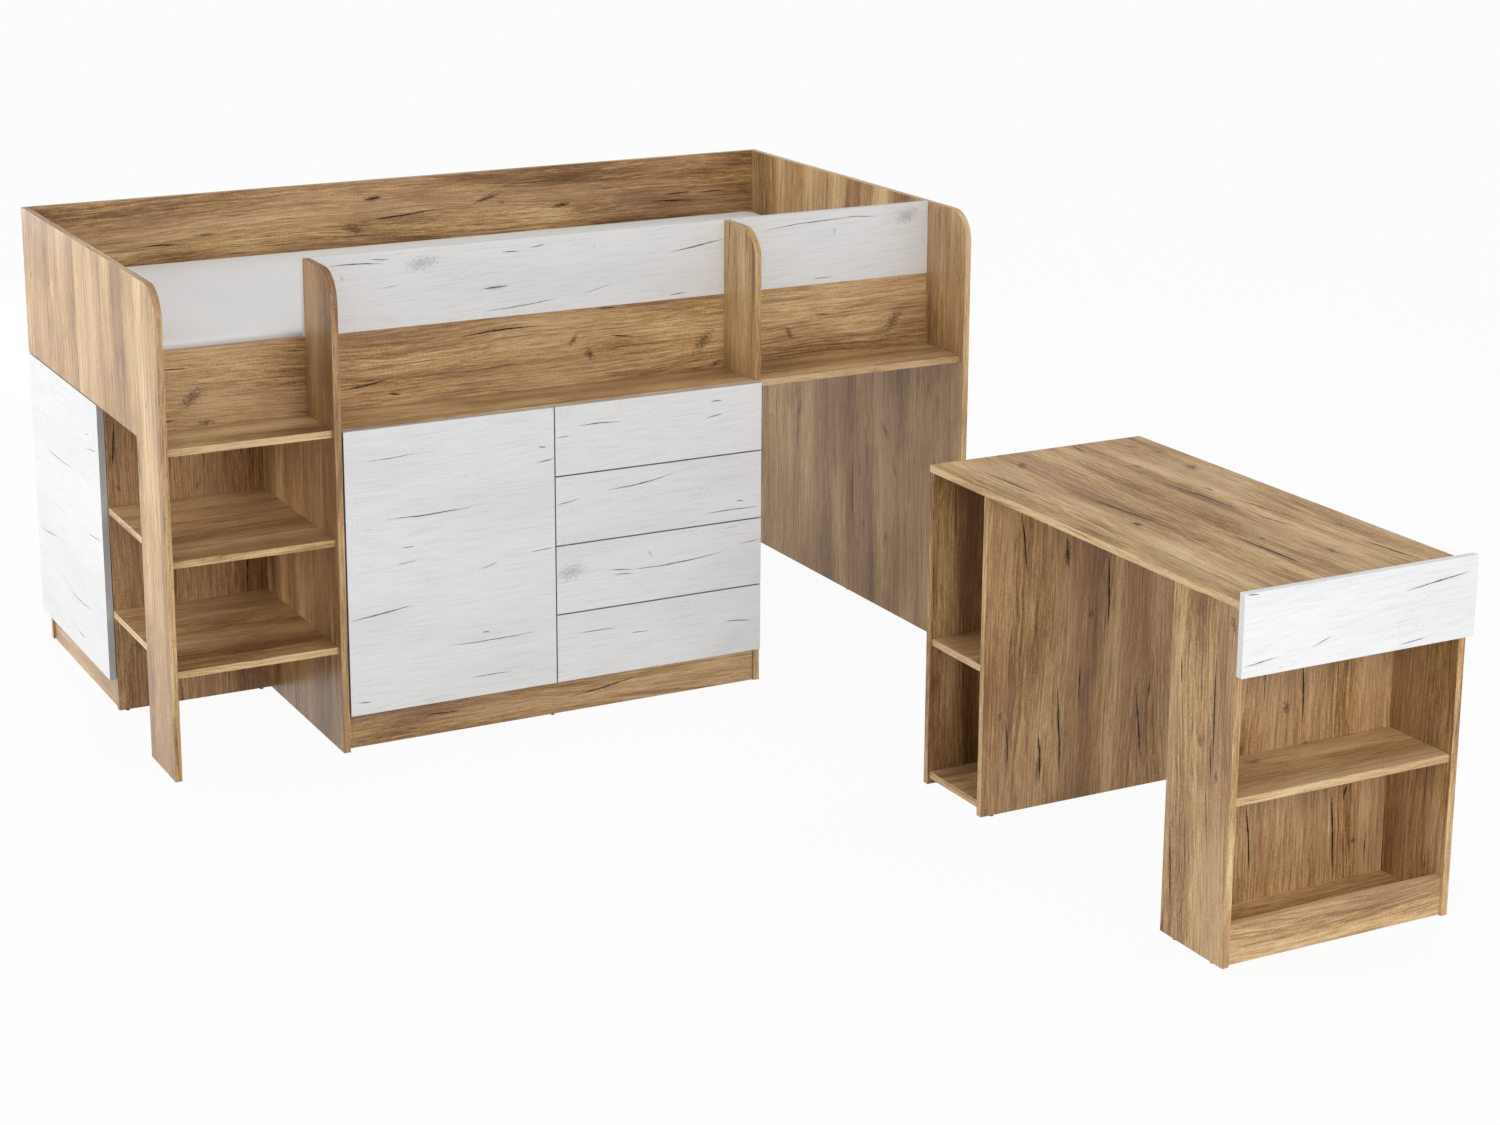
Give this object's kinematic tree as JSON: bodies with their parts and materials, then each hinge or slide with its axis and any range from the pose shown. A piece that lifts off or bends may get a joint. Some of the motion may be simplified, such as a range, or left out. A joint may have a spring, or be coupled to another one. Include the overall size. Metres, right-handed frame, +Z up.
{
  "type": "mid sleeper bed",
  "caption": "Raised single bed over a cupboard, drawers and steps, with a desk that slides out of an alcove; oak-look boards with white fronts and a white mattress.",
  "frame": {"origin": "on the floor, under the middle of the bed's length and of the depth from the wall face to the front of the pulled-out desk", "axes": "+X along the bed from the steps to the desk end, +Y towards the wall, +Z up"},
  "size_m": [2.032, 2.937, 1.11],
  "materials": {
    "golden_oak": "matte",
    "white_oak": "satin",
    "hardboard": "matte",
    "pine": "matte",
    "drawer_board": "matte",
    "mattress_cover": "matte",
    "runner_steel": "satin",
    "hinge_steel": "satin",
    "cam_metal": "satin",
    "glide_plastic": "matte"
  },
  "bodies": {
    "bed": {"left_end_panel": "golden_oak", "right_end_panel": "golden_oak", "back_panel": "golden_oak", "front_rail": "golden_oak", "cabinet_left_side": "golden_oak", "middle_divider": "golden_oak", "long_ledge": "golden_oak", "step_ledge": "golden_oak", "upper_step": "golden_oak", "lower_step": "golden_oak", "cabinet_right_side": "golden_oak", "cabinet_partition": "golden_oak", "cabinet_bottom": "golden_oak", "cabinet_shelf": "golden_oak", "cabinet_plinth": "golden_oak", "end_cabinet_front_wall": "golden_oak", "end_cabinet_rear_wall": "golden_oak", "end_cabinet_bottom": "golden_oak", "end_cabinet_shelf": "golden_oak", "end_cabinet_plinth": "golden_oak", "guard_rail": "white_oak", "cabinet_back": "hardboard", "end_cabinet_back": "hardboard", "slat_battens": "pine", "bed_slats": "pine", "mattress": "mattress_cover", "cabinet_runners": "runner_steel", "hinge_arms": "hinge_steel", "cam_locks": "cam_metal", "bed_glides": "glide_plastic"},
    "centre_leaf": {"centre_door": "white_oak", "centre_door_hinge_cups": "hinge_steel"},
    "end_leaf": {"end_door": "white_oak", "end_door_hinge_cups": "hinge_steel"},
    "drawer_1": {"drawer_1_front": "white_oak", "drawer_1_box": "drawer_board", "drawer_1_rails": "runner_steel"},
    "drawer_2": {"drawer_2_front": "white_oak", "drawer_2_box": "drawer_board", "drawer_2_rails": "runner_steel"},
    "drawer_3": {"drawer_3_front": "white_oak", "drawer_3_box": "drawer_board", "drawer_3_rails": "runner_steel"},
    "drawer_4": {"drawer_4_front": "white_oak", "drawer_4_box": "drawer_board", "drawer_4_rails": "runner_steel"},
    "desk": {"desk_top": "golden_oak", "bookcase_rear_panel": "golden_oak", "bookcase_front_panel": "golden_oak", "bookcase_end_panel": "golden_oak", "bookcase_shelf": "golden_oak", "bookcase_bottom": "golden_oak", "pedestal_left_side": "golden_oak", "pedestal_right_side": "golden_oak", "pedestal_back": "golden_oak", "pedestal_shelf": "golden_oak", "pedestal_bottom": "golden_oak", "pedestal_plinth": "golden_oak", "desk_front": "white_oak", "desk_glides": "glide_plastic"}
  },
  "joints": [
    {"name": "centre_door_hinge", "type": "hinge", "parent": "bed", "child": "centre_leaf", "pos_m": [-0.604, 0.3555, 0.4185], "axis": [0, 0, -1], "range_deg": [0, 110]},
    {"name": "end_door_hinge", "type": "hinge", "parent": "bed", "child": "end_leaf", "pos_m": [-1.016, 1.4685, 0.413], "axis": [0, 0, -1], "range_deg": [0, 90]},
    {"name": "drawer_1_slide", "type": "slide", "parent": "bed", "child": "drawer_1", "axis": [0, -1, 0], "range_m": [0, 0.35]},
    {"name": "drawer_2_slide", "type": "slide", "parent": "bed", "child": "drawer_2", "axis": [0, -1, 0], "range_m": [0, 0.35]},
    {"name": "drawer_3_slide", "type": "slide", "parent": "bed", "child": "drawer_3", "axis": [0, -1, 0], "range_m": [0, 0.35]},
    {"name": "drawer_4_slide", "type": "slide", "parent": "bed", "child": "drawer_4", "axis": [0, -1, 0], "range_m": [0, 0.35]},
    {"name": "desk_slide", "type": "slide", "parent": "bed", "child": "desk", "axis": [0, 1, 0], "range_m": [0, 1.824]}
  ]
}
